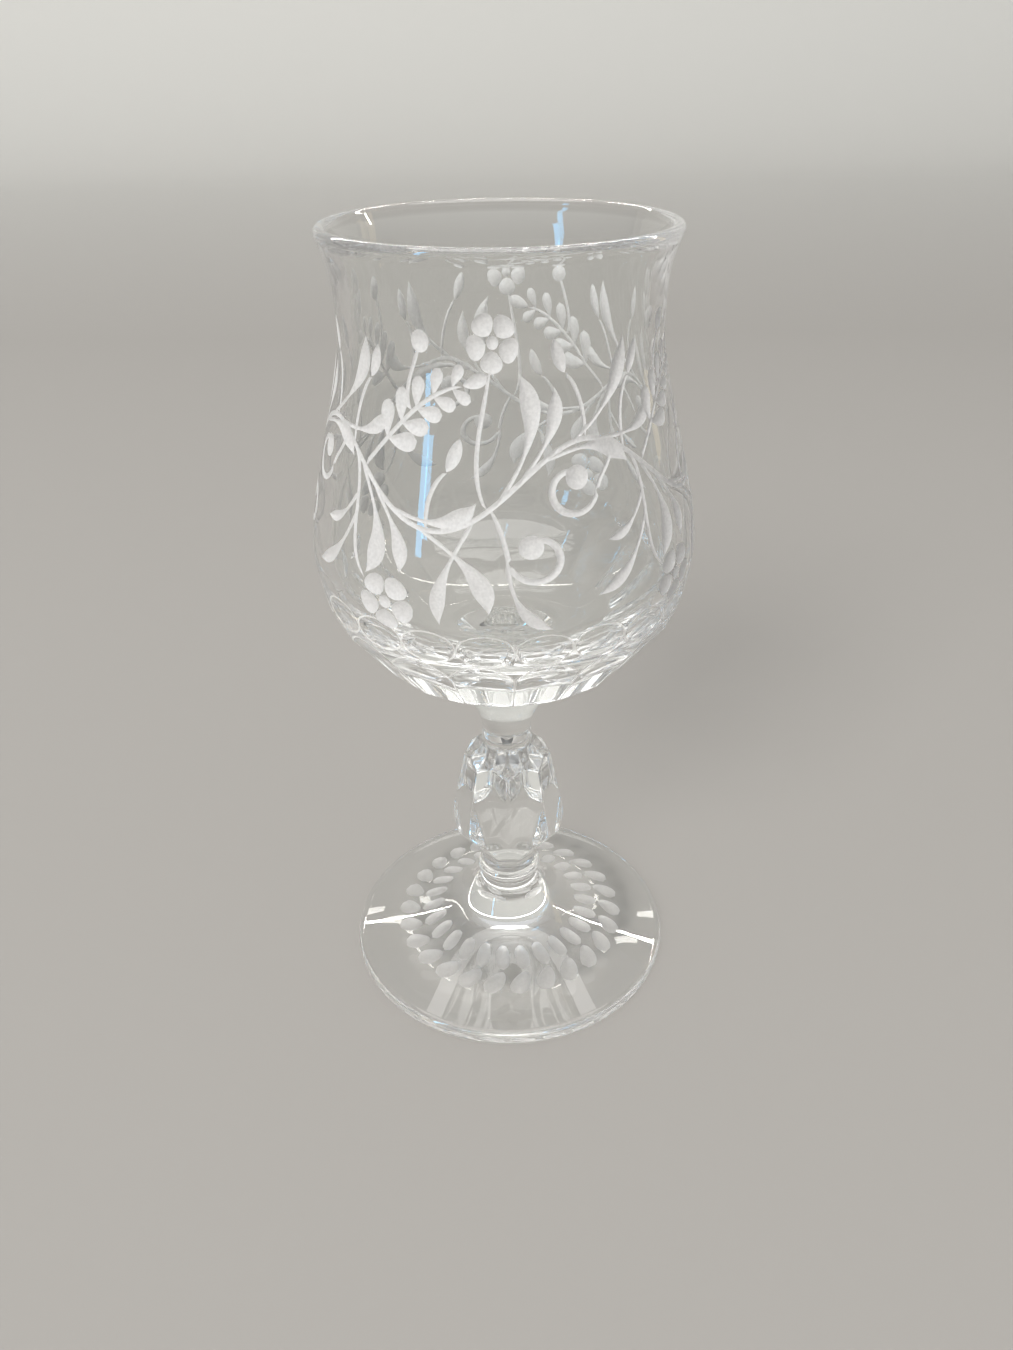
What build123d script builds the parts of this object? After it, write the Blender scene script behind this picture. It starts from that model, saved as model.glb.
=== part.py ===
from build123d import *
from math import cos, radians
import os

# A small stem glass for sherry, in millimetres.
# It stands on the XY plane with its axis on Z, and its front looks along -Y.
# Four gathers of glass are fused end to end: foot, merese, stem and bowl.

glass_height = 128.0

# Foot
foot_radius = 29.2
foot_height = 15.2  # from the table to the seat of the merese
foot_seat_radius = 5.2
foot_edge = 2.9  # thickness of the rim of the foot
foot_edge_round = 1.25
foot_crown = 2.5  # how far the disc swells above its rim
foot_crown_radius = 13.5
foot_cove_radius = 6.2  # where the trumpet turns into the disc
foot_cove_height = 8.2
foot_ring = 4.5  # width of the flat ring that the glass rests on
foot_hollow = 1.6  # rise of the underside within that ring

# Merese, the small bulging wafer between foot and stem
merese_height = 2.6
merese_radius = 5.7

# Stem, from the merese up to the bowl
lower_neck_radius = 4.8
lower_neck_length = 3.2
knop_undercut_height = 6.5  # lower neck to the girdle of the knop
knop_girdle_height = 2.5
knop_body_height = 11.0  # girdle to shoulder
knop_shoulder_height = 3.5  # shoulder to upper neck
knop_sides = 8
knop_girdle_radius = 9.9
knop_girdle_flats = 18.3  # across opposite body flats at the girdle
knop_shoulder_flats = 14.3  # across opposite body flats at the shoulder
knop_stock = 0.5  # glass ground away outside the corners
knop_neck_margin = 0.15  # shoulder and undercut flats stop this far outside the necks
upper_neck_radius = 4.15
upper_neck_length = 1.5  # shoulder of the knop to the flare
neck_flare_height = 14.2
bowl_seat_radius = 8.8

# Bowl, measured on its outside
belly_radius = 29.2
waist_radius = 22.8
lip_radius = 25.2
belly_rise = 22.9  # seat to belly
lip_rise = 13.3  # waist to lip
lip_flare = 2.3  # how far the lip leans out over its last stretch
lip_flare_height = 5.0
belly_wall = 2.6
waist_wall = 2.2
lip_wall = 1.9
lip_round = 0.85  # fire-polished edge
base_thickness = 8.0

# Upper row of oval cuts, ground by a wheel that lies flat against the bowl
oval_count = 22
oval_drop = 5.4  # along the wall, below the belly
oval_depth = 0.55
oval_wheel_radius = 30.0
oval_wheel_edge = 8.3

# Lower row of broad olive cuts that meet in ridges
olive_count = 18
olive_drop = 16.0
olive_depth = 1.25
olive_wheel_edge = 30.0
cut_turn = 2.7  # in both rows, from the front to the meeting of two cuts, in degrees

# Curve handles as shares of the span that they shape
base_handle = 0.61
round_handle = 0.53
full_handle = 0.65
taper_start = 0.26
taper_end = 0.22
waist_handle = 0.54
flare_start = 0.45
flare_middle = 0.35

front = -90.0

# Levels of the fused seats
merese_z = foot_height
stem_z = merese_z + merese_height
knop_z = stem_z + lower_neck_length
girdle_z = knop_z + knop_undercut_height
body_z = girdle_z + knop_girdle_height
shoulder_z = body_z + knop_body_height
upper_neck_z = shoulder_z + knop_shoulder_height
flare_z = upper_neck_z + upper_neck_length
bowl_z = flare_z + neck_flare_height
belly_z = bowl_z + belly_rise
lip_z = glass_height
waist_z = lip_z - lip_rise
waist_rise = waist_z - belly_z


def side_plane(turn, upper, lower):
    """Plane that faces away from the axis at a turn, through an upper and a lower (radius, height)."""
    up = Vector(upper[0] - lower[0], 0, upper[1] - lower[1]).rotate(Axis.Z, turn)
    across = Vector(0, 1, 0).rotate(Axis.Z, turn)
    origin = Vector(lower[0], 0, lower[1]).rotate(Axis.Z, turn)
    return Plane(origin, x_dir=across, z_dir=across.cross(up))


def wheel_plane(wall, drop, reach):
    """Plane centred at a reach out from a wall's profile, a drop below its end, with Z along the wall."""
    at = wall.length - drop
    point = Plane.XZ.from_local_coords(wall.position_at(at, PositionMode.LENGTH))
    up = Plane.XZ.from_local_coords(wall.tangent_at(at, PositionMode.LENGTH))
    sideways = Vector(0, 1, 0)
    return Plane(point + sideways.cross(up) * reach, x_dir=sideways, z_dir=up)


# Foot: a disc that rises in a trumpet, with a hollow underside and a flat ring to rest on
ring_inside = foot_radius - foot_ring
edge_round = min(foot_edge_round, 0.45 * foot_edge)
edge_inside = foot_radius - edge_round
with BuildPart() as foot:
    with BuildSketch(Plane.XZ):
        with BuildLine():
            TangentArc((0, foot_hollow), (ring_inside, 0), tangent=(1, 0))
            Line((ring_inside, 0), (edge_inside, 0))
            TangentArc((edge_inside, 0), (foot_radius, edge_round), tangent=(1, 0))
            Line((foot_radius, edge_round), (foot_radius, foot_edge - edge_round))
            TangentArc((foot_radius, foot_edge - edge_round), (edge_inside, foot_edge), tangent=(0, 1))
            Bezier(
                (edge_inside, foot_edge),
                (foot_crown_radius, foot_edge + foot_crown),
                (foot_cove_radius, foot_cove_height),
                (foot_seat_radius, foot_height),
            )
            Line((foot_seat_radius, foot_height), (0, foot_height))
            Line((0, foot_height), (0, foot_hollow))
        make_face()
    revolve(axis=Axis.Z)

# Merese: a wafer whose edge bulges between its two flat seats
with BuildPart() as merese:
    with BuildSketch(Plane.XZ):
        with BuildLine():
            Line((0, merese_z), (foot_seat_radius, merese_z))
            ThreePointArc(
                (foot_seat_radius, merese_z),
                (merese_radius, merese_z + merese_height / 2),
                (lower_neck_radius, stem_z),
            )
            Line((lower_neck_radius, stem_z), (0, stem_z))
            Line((0, stem_z), (0, merese_z))
        make_face()
    revolve(axis=Axis.Z)

# Stem: a turned knop ground to three tiers of flats, then the two necks that hold it
corner = 1 / cos(radians(180 / knop_sides))
body_foot = (knop_girdle_flats / 2, body_z)
body_top = (knop_shoulder_flats / 2, shoulder_z)
shoulder_foot = (body_top[0] * corner, shoulder_z)
shoulder_top = (upper_neck_radius + knop_neck_margin, upper_neck_z)
undercut_top = (knop_girdle_radius, girdle_z)
undercut_foot = (lower_neck_radius + knop_neck_margin, knop_z)
with BuildPart() as stem:
    with BuildSketch(Plane.XZ):
        with BuildLine():
            Polyline(
                (0, knop_z),
                (undercut_foot[0] * corner + knop_stock, knop_z),
                (knop_girdle_radius, girdle_z),
                (knop_girdle_radius, body_z),
                (shoulder_foot[0] + knop_stock, shoulder_z),
                (shoulder_top[0] * corner + knop_stock, upper_neck_z),
                (0, upper_neck_z),
                (0, knop_z),
            )
        make_face()
    revolve(axis=Axis.Z)
    for side in range(knop_sides):
        turn = front + side * 360 / knop_sides
        between = turn + 180 / knop_sides
        split(bisect_by=side_plane(turn, shoulder_top, shoulder_foot), keep=Keep.BOTTOM)
        split(bisect_by=side_plane(between, body_top, body_foot), keep=Keep.BOTTOM)
        split(bisect_by=side_plane(turn, undercut_top, undercut_foot), keep=Keep.BOTTOM)
    with BuildSketch(Plane.XZ):
        with BuildLine():
            Polyline(
                (0, girdle_z),
                (0, stem_z),
                (lower_neck_radius, stem_z),
                (lower_neck_radius, girdle_z),
                (0, girdle_z),
            )
        make_face()
        with BuildLine():
            Polyline((upper_neck_radius, flare_z), (upper_neck_radius, girdle_z), (0, girdle_z), (0, bowl_z))
            Line((0, bowl_z), (bowl_seat_radius, bowl_z))
            Bezier(
                (bowl_seat_radius, bowl_z),
                (
                    (upper_neck_radius + bowl_seat_radius) / 2,
                    flare_z + flare_middle * neck_flare_height,
                ),
                (upper_neck_radius, flare_z + flare_start * neck_flare_height),
                (upper_neck_radius, flare_z),
            )
        make_face()
    revolve(axis=Axis.Z)

# Bowl: a blown tulip shape with a belly, a waist and a flared lip
inner_belly = belly_radius - belly_wall
inner_waist = waist_radius - waist_wall
inner_lip = lip_radius - lip_wall
inner_base_z = bowl_z + base_thickness
with BuildPart() as bowl:
    with BuildSketch(Plane.XZ):
        with BuildLine():
            Line((0, bowl_z), (bowl_seat_radius, bowl_z))
            belly_line = Bezier(
                (bowl_seat_radius, bowl_z),
                (bowl_seat_radius + base_handle * (belly_radius - bowl_seat_radius), bowl_z),
                (belly_radius, belly_z - round_handle * belly_rise),
                (belly_radius, belly_z),
            )
            Bezier(
                (belly_radius, belly_z),
                (belly_radius, belly_z + taper_start * waist_rise),
                (waist_radius, waist_z - taper_end * waist_rise),
                (waist_radius, waist_z),
            )
            Bezier(
                (waist_radius, waist_z),
                (waist_radius, waist_z + waist_handle * lip_rise),
                (lip_radius - lip_flare, lip_z - lip_flare_height),
                (lip_radius, lip_z),
            )
            Line((lip_radius, lip_z), (inner_lip, lip_z))
            Bezier(
                (inner_lip, lip_z),
                (inner_lip - lip_flare, lip_z - lip_flare_height),
                (inner_waist, waist_z + waist_handle * lip_rise),
                (inner_waist, waist_z),
            )
            Bezier(
                (inner_waist, waist_z),
                (inner_waist, waist_z - taper_end * waist_rise),
                (inner_belly, belly_z + taper_start * waist_rise),
                (inner_belly, belly_z),
            )
            Bezier(
                (inner_belly, belly_z),
                (inner_belly, belly_z - full_handle * (belly_z - inner_base_z)),
                (full_handle * inner_belly, inner_base_z),
                (0, inner_base_z),
            )
            Line((0, inner_base_z), (0, bowl_z))
        make_face()
    revolve(axis=Axis.Z)
    fillet(bowl.edges().group_by(Axis.Z)[-1], lip_round)

    oval_wheel = wheel_plane(belly_line, oval_drop, oval_wheel_radius - oval_depth)
    olive_wheel = wheel_plane(belly_line, olive_drop, olive_wheel_edge - olive_depth)
    for turn in PolarLocations(0, oval_count, start_angle=front + cut_turn + 180 / oval_count):
        with Locations(turn * oval_wheel.location):
            Torus(oval_wheel_radius - oval_wheel_edge, oval_wheel_edge, mode=Mode.SUBTRACT)
    for turn in PolarLocations(0, olive_count, start_angle=front + cut_turn + 180 / olive_count):
        with Locations(turn * olive_wheel.location):
            Cylinder(olive_wheel_edge, belly_line.length, mode=Mode.SUBTRACT)

os.makedirs("parts", exist_ok=True)
for label, piece in (("foot", foot), ("merese", merese), ("stem", stem), ("bowl", bowl)):
    piece.part.label = label
    export_step(piece.part, f"parts/{label}.step")
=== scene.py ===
import bpy
import numpy as np
from math import cos, pi, radians, tan
from mathutils import Euler, Matrix, Vector
from mathutils.geometry import delaunay_2d_cdt


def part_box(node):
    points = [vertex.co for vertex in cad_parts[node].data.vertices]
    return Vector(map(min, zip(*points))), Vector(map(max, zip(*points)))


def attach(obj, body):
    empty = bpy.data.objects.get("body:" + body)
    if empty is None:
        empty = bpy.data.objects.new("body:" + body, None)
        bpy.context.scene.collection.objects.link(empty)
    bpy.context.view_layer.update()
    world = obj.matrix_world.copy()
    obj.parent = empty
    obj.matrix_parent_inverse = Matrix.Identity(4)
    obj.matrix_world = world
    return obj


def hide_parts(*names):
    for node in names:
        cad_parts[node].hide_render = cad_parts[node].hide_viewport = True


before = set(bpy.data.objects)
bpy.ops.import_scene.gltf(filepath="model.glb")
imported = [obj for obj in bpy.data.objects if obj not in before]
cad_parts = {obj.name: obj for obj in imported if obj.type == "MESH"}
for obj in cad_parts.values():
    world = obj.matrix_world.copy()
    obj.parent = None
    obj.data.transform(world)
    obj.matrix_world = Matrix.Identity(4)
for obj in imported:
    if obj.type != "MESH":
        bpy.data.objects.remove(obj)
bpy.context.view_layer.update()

# A cut and engraved sherry glass. Its sizes are in millimetres, as on a drawing, and MM turns
# them into the frame's metres. Angles are in degrees, turned about the axis from +X.
MM = 0.001
FRONT, BACK = -90.0, 90.0


def levels(node):
    """Bottom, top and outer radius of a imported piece."""
    low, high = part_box(node)
    return low.z / MM, high.z / MM, high.x / MM


_, FOOT_TOP, FOOT_RADIUS = levels("foot")
MERESE_BOTTOM, MERESE_TOP, _ = levels("merese")
STEM_BOTTOM, STEM_TOP, KNOP_RADIUS = levels("stem")
BOWL_BOTTOM, LIP_TOP, BELLY_RADIUS = levels("bowl")

# Foot
FOOT_SEAT = 5.2
FOOT_EDGE = 2.9
FOOT_ROUND = 1.25
FOOT_CROWN = 2.5
FOOT_CROWN_RADIUS = 13.5
FOOT_COVE_RADIUS = 6.2
FOOT_COVE_HEIGHT = 8.2
FOOT_RING = 4.5
FOOT_HOLLOW = 1.6

# Merese
MERESE_RADIUS = 5.7

# Stem, from its lower seat up
LOWER_NECK = 4.8
LOWER_NECK_LENGTH = 3.2
UNDERCUT_HEIGHT = 6.5
GIRDLE_HEIGHT = 2.5
BODY_HEIGHT = 11.0
SHOULDER_HEIGHT = 3.5
UPPER_NECK = 4.15
UPPER_NECK_LENGTH = 1.5
BOWL_SEAT = 8.8
KNOP_Z = STEM_BOTTOM + LOWER_NECK_LENGTH
GIRDLE_Z = KNOP_Z + UNDERCUT_HEIGHT
BODY_Z = GIRDLE_Z + GIRDLE_HEIGHT
SHOULDER_Z = BODY_Z + BODY_HEIGHT
UPPER_NECK_Z = SHOULDER_Z + SHOULDER_HEIGHT
FLARE_Z = UPPER_NECK_Z + UPPER_NECK_LENGTH
KNOP_SIDES = 8
GIRDLE_FLATS = 18.3
SHOULDER_FLATS = 14.3
NECK_MARGIN = 0.15
KNOP_EDGE = 0.3  # how wide the polished edges between the flats are
NECK_FILLET = 0.6

# Bowl
BELLY_RISE = 22.9
LIP_RISE = 13.3
BELLY_Z = BOWL_BOTTOM + BELLY_RISE
WAIST_Z = LIP_TOP - LIP_RISE
WAIST_RADIUS = 22.8
LIP_RADIUS = 25.2
LIP_FLARE = 2.3
LIP_FLARE_HEIGHT = 5.0
BELLY_WALL = 2.6
WAIST_WALL = 2.2
LIP_WALL = 1.9
LIP_ROUND = 0.85
BASE_THICKNESS = 8.0
OVALS = dict(count=22, drop=5.4, depth=0.55, wheel=30.0, edge=8.3)
OLIVES = dict(count=18, drop=16.0, depth=1.25, wheel=30.0, edge=None)
CUT_TURN = 2.7
CUT_EDGE = 0.3  # how wide the polished edges of the cuts are

# Curve handles as shares of the span that they shape
BASE_HANDLE = 0.61
ROUND_HANDLE = 0.53
FULL_HANDLE = 0.65
TAPER_START = 0.26
TAPER_END = 0.22
WAIST_HANDLE = 0.54
FLARE_START = 0.45
FLARE_MIDDLE = 0.35

# Engraving
ENGRAVED_DEPTH = 0.6  # what the broadest marks come near to
ENGRAVED_SLOPE = 0.6  # distance from its edge at which a mark has half that depth
BOWL_REFERENCE = 26.0  # radius at which the marks on the bowl have their drawn width
FOOT_REFERENCE = 18.0
FOOT_LEAFLETS = 26
FOOT_LEAFLET_ROOT = 11.0  # along the disc, from its rim
REPEATS = 4
VINE_HEIGHT = 17.0  # over the belly, along the wall
VINE_SWING = 5.6
VINE_WIDTH = 0.7
STROKE_WIDTH = 0.62

# The drawing of one repeat. Roots are shares of the way along the vine, and offsets start from there.
VINE_FLICKS = (  # root, side, lead, length, width, bend and sway
    (-0.05, 1, 14, 19.0, 2.8, 72, 8),
    (0.02, 1, 10, 14.0, 2.2, 50, -4),
    (0.20, 1, 16, 17.0, 2.7, 58, 6),
    (0.30, 1, 12, 13.0, 2.1, 66, 0),
    (0.10, -1, 16, 15.0, 2.5, 74, 10),
    (0.45, -1, 14, 18.0, 2.8, 74, 8),
    (0.52, -1, 10, 13.5, 2.2, 50, -4),
    (0.70, -1, 14, 16.0, 2.6, 60, 6),
    (0.60, 1, 16, 14.0, 2.4, 74, 10),
)
LOWER_FLICKS = (  # root, offset, angle, length, width, bend and sway
    (0.42, (2.0, -7.2), -112, 15.0, 1.9, -52, -4),
    (0.42, (1.6, -5.2), -118, 9.5, 1.5, -62, -10),
    (0.93, (2.0, -6.4), -88, 13.0, 1.7, 66, 14),
    (0.88, (0.0, 0.0), -118, 16.0, 2.0, 40, -4),
)
LOWER_FLOWER = dict(
    beside=0.58, offset=(0.6, -13.8), petal=3.1, turn=54,
    root=0.42, bows=((3.2, -4.5), (-7.5, 6.0)), meets=(-3.2, 2.6), start=1.0,
)
UPPER_FLOWER = dict(
    beside=0.0, offset=(-2.4, 17.8), petal=2.8, turn=50,
    root=-0.08, bows=((-3.0, 5.0), (-1.2, -8.0)), meets=(-0.4, -3.0), start=0.5,
)
PETALS = 5
FROND_ROOT = 0.47
FROND_REACH = ((0, 0), (4.0, 4.4), (8.5, 10.6), (15.0, 11.6))
TENDRILS = ((0.33, -1, 6.0), (0.93, 1, 7.0))  # root, side and drop
BUDS = ((0.25, -1, 8.2), (0.40, 1, 9.0), (0.73, 1, 7.6))  # root, side and rise

# Mesh: distances between rows or numbers of them, and numbers of columns
COLUMNS = 180
FLAT_COLUMNS = 24  # on each side of the knop
DISC_STEP = 0.8
UNDERSIDE_STEP = 1.5
ROUND_STEP = 0.2
BULGE_STEP = 0.12
NECK_ROWS, KNOP_ROWS, FLARE_ROWS = 6, 112, 40
FILLET_ROOM = 0.8  # how far the rows of the knop run on over the necks
BASE_ROWS, CUT_ROWS, WALL_ROWS, INNER_ROWS = 7, 48, 42, 84
CUTS_START, CUTS_END = 6.0, 1.0  # rows of the cuts, from the seat and short of the belly
HAIR = 1e-5  # points this close to a side of an unrolled wall lie on it
TINY = 1e-12  # stands in for zero where something is divided by it
SEAM = BACK + CUT_TURN  # where two cuts meet in both rows
TURNS = radians(SEAM) + np.arange(COLUMNS) * 2 * pi / COLUMNS
GLASS, FROST, SEAT, EDGE = range(4)  # material slots of each piece
WALL, BEVEL, FIRST_CUT = range(3)  # what a triangle of a carved wall belongs to


# Outlines

def bezier(handles, share):
    p = np.array(handles, float)
    t = np.asarray(share, float)[:, None]
    return (1 - t) ** 3 * p[0] + 3 * (1 - t) ** 2 * t * p[1] + 3 * (1 - t) * t**2 * p[2] + t**3 * p[3]


def run(*handles, count=160):
    return bezier(handles, np.linspace(0, 1, count))


def arc_through(start, middle, end, count):
    """Points of the circle through three points, from the first to the last."""
    a, b, c = (complex(*p) for p in (start, middle, end))
    w = (c - a) / (b - a)
    centre = a + (b - a) * (w - abs(w) ** 2) / (2j * w.imag)
    turn = np.angle((c - centre) / (a - centre))
    spin = centre + (a - centre) * np.exp(1j * turn * np.linspace(0, 1, count))
    return np.column_stack([spin.real, spin.imag])


def corner_arc(corner, into, out, radius, count=10):
    """Arc that rounds a left turn from one direction into another, and how far back it starts."""
    into, out = (np.array(d, float) / np.hypot(*d) for d in (into, out))
    turn = np.arccos(np.clip(into @ out, -1, 1))
    back = radius * tan(turn / 2)
    start = np.array(corner) - into * back
    left = np.array([-into[1], into[0]])
    a = np.linspace(0, turn, count)[:, None]
    return start + radius * (np.sin(a) * into + (1 - np.cos(a)) * left), back


class Wall:
    """A stretch of turned profile, with radius, height and outward direction by distance along it."""

    def __init__(self, *runs):
        points = np.concatenate([runs[0], *(r[1:] for r in runs[1:])])
        self.points = points
        self.at = np.concatenate([[0.0], np.cumsum(np.hypot(*np.diff(points, axis=0).T))])
        self.length = self.at[-1]
        along = np.gradient(points, self.at, axis=0)
        along /= np.hypot(*along.T)[:, None]
        self.out = np.column_stack([along[:, 1], -along[:, 0]])

    def place(self, s):
        return np.interp(s, self.at, self.points[:, 0]), np.interp(s, self.at, self.points[:, 1])

    def facing(self, s):
        out = np.stack([np.interp(s, self.at, self.out[:, i]) for i in (0, 1)], axis=-1)
        return np.moveaxis(out / np.linalg.norm(out, axis=-1, keepdims=True), -1, 0)

    def rows(self, spacing):
        return np.linspace(0, self.length, max(2, round(self.length / spacing) + 1))

    def solid(self, turn, s):
        """Points and outward directions in space."""
        r, z = self.place(s)
        nr, nz = self.facing(s)
        return around(turn, r, z), around(turn, nr, nz)


def around(turn, r, z):
    turn, r, z = np.broadcast_arrays(turn, r, z)
    return np.stack([r * np.cos(turn), r * np.sin(turn), z], axis=-1)


def turned(vectors, angle):
    """Turns vectors about the axis, each by its own angle; corners of one face share theirs."""
    angle = angle.reshape(angle.shape + (1,) * (vectors.ndim - 1 - angle.ndim))
    x, y, z = np.moveaxis(vectors, -1, 0)
    c, s = np.cos(angle), np.sin(angle)
    return np.stack([c * x - s * y, s * x + c * y, z], axis=-1)


# Meshes

class Shell:
    """Points, faces and corner normals of one piece."""

    def __init__(self):
        self.points, self.faces, self.normals, self.slots = [], [], [], []

    def add(self, points):
        start = len(self.points)
        self.points.extend(np.asarray(points).tolist())
        return np.arange(start, len(self.points))

    def join(self, corners, normals, slot):
        self.faces.extend(np.asarray(corners).tolist())
        self.normals.extend(np.asarray(normals).reshape(-1, 3).tolist())
        self.slots.extend([slot] * len(corners))

    def band(self, lower, upper, low_normals, high_normals):
        """Quads between two closed rings."""
        ahead = lambda ring: np.roll(ring, -1, axis=0)
        corners = np.stack([lower, ahead(lower), ahead(upper), upper], axis=1)
        normals = np.stack([low_normals, ahead(low_normals), ahead(high_normals), high_normals], axis=1)
        self.join(corners, normals, GLASS)

    def fan(self, ring, tip, normals, tip_normal):
        """Triangles from a closed ring to a tip."""
        corners = np.stack([ring, np.roll(ring, -1), np.full_like(ring, tip)], axis=1)
        tips = np.broadcast_to(tip_normal, normals.shape)
        self.join(corners, np.stack([normals, np.roll(normals, -1, axis=0), tips], axis=1), GLASS)

    def cap(self, ring, up):
        """A flat seat, which the next piece is fused to."""
        self.join([ring if up > 0 else ring[::-1]], [[(0.0, 0.0, up)] * len(ring)], SEAT)

    def lathe(self, wall, rows, first, last=None):
        """Turns a stretch of wall on from a first ring, up to a last one if given, and gives that back."""
        ring = first
        for s, following in zip(rows[:-1], rows[1:]):
            _, normals = wall.solid(TURNS, s)
            places, further = wall.solid(TURNS, following)
            at_end = following == rows[-1]
            upper = last if at_end and last is not None else self.add(places)
            self.band(ring, upper, normals, further)
            ring = upper
        return ring

    def piece(self, name, node, materials):
        mesh = bpy.data.meshes.new(name)
        mesh.from_pydata((np.array(self.points) * MM).tolist(), [], self.faces)
        mesh.polygons.foreach_set("material_index", self.slots)
        mesh.polygons.foreach_set("use_smooth", [True] * len(self.faces))
        for material in materials:
            mesh.materials.append(material)
        mesh.normals_split_custom_set(self.normals)
        mesh.update()
        obj = bpy.data.objects.new(name, mesh)
        bpy.context.scene.collection.objects.link(obj)
        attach(obj, "root")
        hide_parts(node)


# Cuts

class WheelCuts:
    """A row of equal cuts, each ground by a wheel that stands on the wall with its axis along it."""

    def __init__(self, wall, belly, count, drop, depth, wheel, edge):
        self.wall, self.at, self.count, self.edge = wall, belly - drop, count, edge
        r, z = wall.place(self.at)
        nr, nz = wall.facing(self.at)
        self.radius, self.wheel = float(r), wheel
        self.centre = np.array([r + nr * (wheel - depth), 0.0, z + nz * (wheel - depth)])
        self.axis = np.array([-nz, 0.0, nr])
        self.sector = 2 * pi / count

    def wheel_frame(self, points):
        """Distance along the axis, distance from it and the direction away from it."""
        q = points - self.centre
        along = q @ self.axis
        away = q - along[..., None] * self.axis
        reach = np.linalg.norm(away, axis=-1)
        return along, reach, away / reach[..., None]

    def clearance(self, points):
        """Distance from the wheel, below zero inside it."""
        along, reach, _ = self.wheel_frame(points)
        if self.edge is None:
            return reach - self.wheel
        return np.hypot(reach - self.wheel + self.edge, along) - self.edge

    def facing(self, points):
        """Direction that the ground surface faces."""
        along, reach, away = self.wheel_frame(points)
        if self.edge is None:
            return -away
        normal = (reach - self.wheel + self.edge)[..., None] * away + along[..., None] * self.axis
        return -normal / np.linalg.norm(normal, axis=-1, keepdims=True)

    def middle(self, turn):
        """Turn of the middle of the cut whose sector holds this turn, both counted from the seam."""
        return (np.floor(turn / self.sector) + 0.5) * self.sector

    def depth(self, turn, s, tries=24):
        """How far the cut lies below the wall."""
        points, out = self.wall.solid(turn - self.middle(turn), s)
        sunk = np.zeros(len(points))
        for _ in range(tries):
            sunk += np.maximum(-self.clearance(points - sunk[:, None] * out), 0)
        return sunk

    def outline(self, grow, steps=72, tries=40):
        """Edge of one cut, grown a little, as turns from its middle and distances along the wall."""
        angle = np.arange(steps) * 2 * pi / steps
        across, up = np.cos(angle) / self.radius, np.sin(angle)
        near, far = np.zeros(steps), np.full(steps, self.at)
        for _ in range(tries):
            reach = (near + far) / 2
            inside = self.clearance(self.wall.solid(across * reach, self.at + up * reach)[0]) < 0
            near, far = np.where(inside, reach, near), np.where(inside, far, reach)
        limit = (self.sector / 2 * self.radius + grow) / np.maximum(np.abs(np.cos(angle)), TINY)
        reach = np.minimum(near + grow, limit)
        return np.column_stack([across * reach, self.at + up * reach])

    def outlines(self, grow):
        edge = self.outline(grow)
        return [edge + ((k + 0.5) * self.sector, 0) for k in range(self.count)]


# Engraved marks, drawn on the unrolled wall: millimetres to the right and up

def heading(angle):
    return np.array([cos(radians(angle)), cos(radians(90 - angle))])


def swell(share, peak, power):
    """Share of the full width along a mark: none at both ends, all of it at the peak."""
    return np.sin(pi * share ** (np.log(0.5) / np.log(peak))).clip(0) ** power


def ribbon(path, half):
    """A mark of some half widths along a path: its edge, and points on its floor."""
    along = np.gradient(path, axis=0)
    along /= np.hypot(*along.T)[:, None]
    across = np.column_stack([-along[:, 1], along[:, 0]]) * half[:, None]
    edge = np.concatenate([path - across, (path + across)[-2:0:-1]])
    inner = slice(1, -1)
    floor = np.concatenate([path[inner], (path + across / 2)[inner], (path - across / 2)[inner]])
    return edge, floor


def bent(root, angle, length, sway, bend):
    """Curve handles that set out at an angle, sway from it and end at a bend to it."""
    handles = [np.array(root, float)]
    for turn in (0, sway, bend):
        handles.append(handles[-1] + length / 3 * heading(angle + turn))
    return handles


def leaf(root, angle, length, width, bend=0.0, peak=0.6, power=1.0, count=12):
    """A mark that leaves its root at an angle and bends on its way to the tip."""
    share = np.linspace(0, 1, count)
    path = bezier(bent(root, angle, length, bend / 2, bend), share)
    return ribbon(path, width / 2 * swell(share, peak, power))


def flick(root, angle, length, width, bend, sway, count=22):
    """A long thin stroke that sways, swells into a leaf near its end and runs out in a tip."""
    share = np.linspace(0, 1, count)
    stroke = STROKE_WIDTH / 2 * (0.35 + 6 * share).clip(0, 1) * (1 - share) ** 0.5
    half = np.maximum(width / 2 * swell(share, peak=0.76, power=1.3), stroke)
    return ribbon(bezier(bent(root, angle, length, sway, bend), share), half)


def stalk(handles, start=1.0, end=0.5, count=18):
    """A thin stroke that tapers to shares of its width over its first and last quarter."""
    share = np.linspace(0, 1, count)
    taper = np.minimum(start + 4 * (1 - start) * share, end + 4 * (1 - end) * (1 - share)).clip(0, 1)
    return ribbon(bezier(handles, share), STROKE_WIDTH / 2 * taper)


def dot(centre, radius, count=18):
    a = np.arange(count) * 2 * pi / count
    edge = np.column_stack([np.cos(a), np.sin(a)]) * radius
    return centre + edge, np.concatenate([[centre], centre + edge / 2])


def flower(centre, petal, turn):
    """Broad round petals about a small eye, all sized by the length of a petal."""
    eye, reach, breadth = 0.3 * petal, 0.34 * petal, 1.12 * petal
    marks = [dot(centre, eye)]
    for k in range(PETALS):
        angle = turn + 360 * k / PETALS
        root = centre + reach * heading(angle)
        marks.append(leaf(root, angle, petal, breadth, peak=0.58, power=0.45, count=14))
    return marks


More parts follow.
